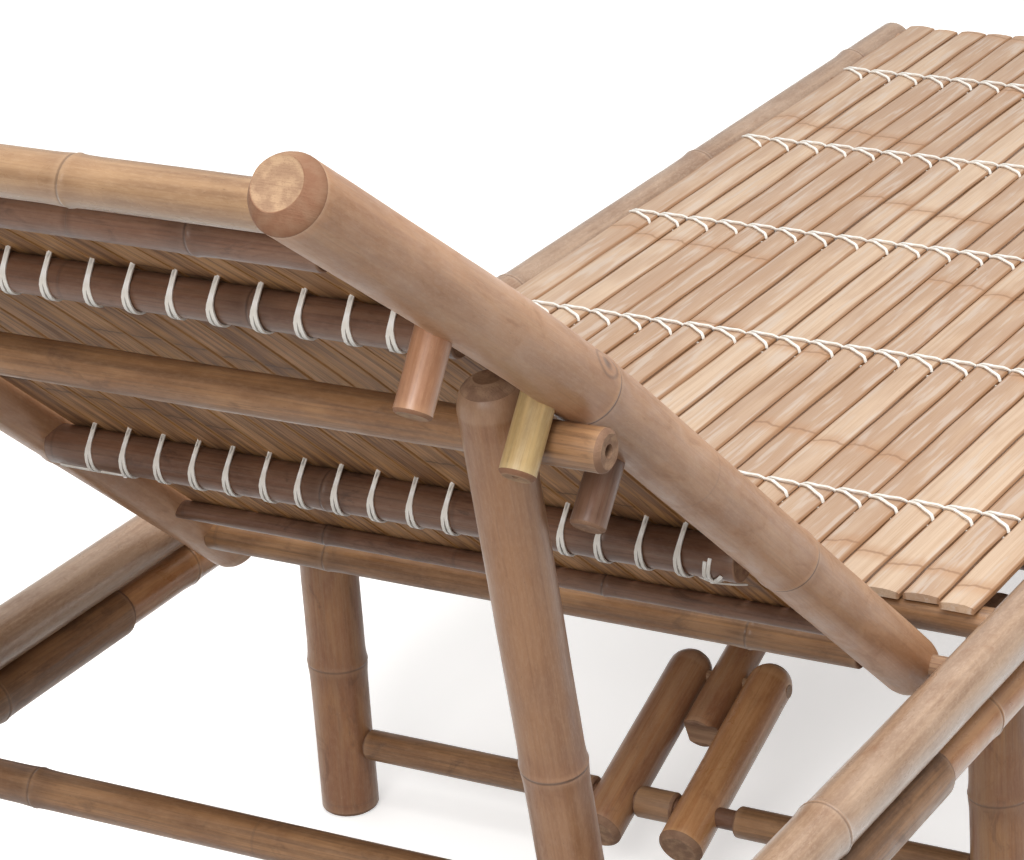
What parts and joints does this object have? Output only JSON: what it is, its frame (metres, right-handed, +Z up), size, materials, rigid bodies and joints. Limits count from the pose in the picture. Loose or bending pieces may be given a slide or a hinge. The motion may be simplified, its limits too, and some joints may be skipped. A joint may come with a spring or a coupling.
{
  "type": "folding_lounger",
  "caption": "Folding bamboo sun lounger with a slatted seat on level doubled rails, a reclining slatted backrest propped from behind, and folding leg frames held by jointed stays.",
  "frame": {"origin": "On the floor plane, in the middle of the overall length and width", "axes": "+X to the right side seen from the head end, +Y from the head end to the foot end, +Z up"},
  "size_m": [0.6524, 1.883, 0.8173],
  "materials": {
    "straw_bamboo": "satin",
    "pale_bamboo": "satin",
    "golden_bamboo": "satin",
    "tan_bamboo": "satin",
    "brown_bamboo": "satin",
    "dark_bamboo": "satin",
    "white_cord": "matt"
  },
  "bodies": {
    "seat_frame": {"foot_leg_axle": "brown_bamboo", "foot_rail": "tan_bamboo", "hinge_pin_left": "dark_bamboo", "hinge_pin_right": "dark_bamboo", "lower_rail_left": "golden_bamboo", "lower_rail_right": "golden_bamboo", "prop_axle": "brown_bamboo", "rail_dowels": "dark_bamboo", "rail_socket_left": "brown_bamboo", "rail_socket_right": "brown_bamboo", "rear_leg_axle": "brown_bamboo", "seat_cross_pole_1": "brown_bamboo", "seat_cross_pole_2": "brown_bamboo", "seat_cross_pole_3": "brown_bamboo", "seat_cross_pole_4": "brown_bamboo", "seat_cross_pole_5": "brown_bamboo", "seat_lashings": "white_cord", "seat_rear_rail": "brown_bamboo", "seat_slats": "straw_bamboo", "side_rail_left": "pale_bamboo", "side_rail_right": "pale_bamboo"},
    "backrest": {"back_bottom_rail": "dark_bamboo", "back_cross_pole_a": "dark_bamboo", "back_cross_pole_b": "brown_bamboo", "back_lashings": "white_cord", "back_second_rail": "dark_bamboo", "back_slats": "brown_bamboo", "back_spreader": "brown_bamboo", "back_top_rail": "golden_bamboo", "notch_peg_left_1": "brown_bamboo", "notch_peg_left_2": "pale_bamboo", "notch_peg_left_3": "dark_bamboo", "notch_peg_right_1": "brown_bamboo", "notch_peg_right_2": "pale_bamboo", "notch_peg_right_3": "dark_bamboo", "stile_left": "tan_bamboo", "stile_right": "tan_bamboo"},
    "prop": {"prop_bar": "brown_bamboo", "prop_leg_left": "brown_bamboo", "prop_leg_right": "brown_bamboo"},
    "rear_legs": {"rear_leg_left": "tan_bamboo", "rear_leg_right": "tan_bamboo", "rear_sleeves": "brown_bamboo", "rear_stretcher": "dark_bamboo"},
    "rear_fork": {"rear_fork_arm_left": "brown_bamboo", "rear_fork_arm_right": "brown_bamboo", "rear_knee_pin": "dark_bamboo"},
    "rear_tongue": {"rear_tongue": "tan_bamboo"},
    "foot_legs": {"foot_leg_left": "tan_bamboo", "foot_leg_right": "tan_bamboo", "foot_sleeves": "brown_bamboo", "foot_stretcher": "dark_bamboo"},
    "foot_fork": {"foot_fork_arm_left": "brown_bamboo", "foot_fork_arm_right": "brown_bamboo", "foot_knee_pin": "dark_bamboo"},
    "foot_tongue": {"foot_tongue": "tan_bamboo"}
  },
  "joints": [
    {"name": "backrest_fold", "type": "hinge", "parent": "seat_frame", "child": "backrest", "pos_m": [0, -0.29852, 0.282], "axis": [-1, 0, 0], "range_deg": [0, 80]},
    {"name": "prop_fold", "type": "hinge", "parent": "seat_frame", "child": "prop", "pos_m": [0, -0.65252, 0.282], "axis": [-1, 0, 0], "range_deg": [0, 80]},
    {"name": "rear_leg_fold", "type": "hinge", "parent": "seat_frame", "child": "rear_legs", "pos_m": [0, -0.16452, 0.2457], "axis": [1, 0, 0], "range_deg": [0, 90]},
    {"name": "rear_fork_fold", "type": "hinge", "parent": "rear_legs", "child": "rear_fork", "pos_m": [0, -0.16452, 0.056], "axis": [1, 0, 0], "range_deg": [-248.45, 0]},
    {"name": "rear_tongue_fold", "type": "hinge", "parent": "rear_fork", "child": "rear_tongue", "pos_m": [0, -0.04808, 0.10147], "axis": [1, 0, 0], "range_deg": [0, 150.17]},
    {"name": "foot_leg_fold", "type": "hinge", "parent": "seat_frame", "child": "foot_legs", "pos_m": [0, 0.88948, 0.2457], "axis": [-1, 0, 0], "range_deg": [0, 90]},
    {"name": "foot_fork_fold", "type": "hinge", "parent": "foot_legs", "child": "foot_fork", "pos_m": [0, 0.88948, 0.056], "axis": [-1, 0, 0], "range_deg": [-272.7, 0]},
    {"name": "foot_tongue_fold", "type": "hinge", "parent": "foot_fork", "child": "foot_tongue", "pos_m": [0, 0.78174, 0.11938], "axis": [-1, 0, 0], "range_deg": [0, 167.22]}
  ],
  "couplings": [
    {"joint": "prop_fold", "follows": "backrest_fold", "ratio": 1},
    {"joint": "rear_fork_fold", "follows": "rear_leg_fold", "ratio": -2.7604},
    {"joint": "rear_tongue_fold", "follows": "rear_leg_fold", "ratio": 1.6685},
    {"joint": "foot_fork_fold", "follows": "foot_leg_fold", "ratio": -3.0299},
    {"joint": "foot_tongue_fold", "follows": "foot_leg_fold", "ratio": 1.8578}
  ]
}
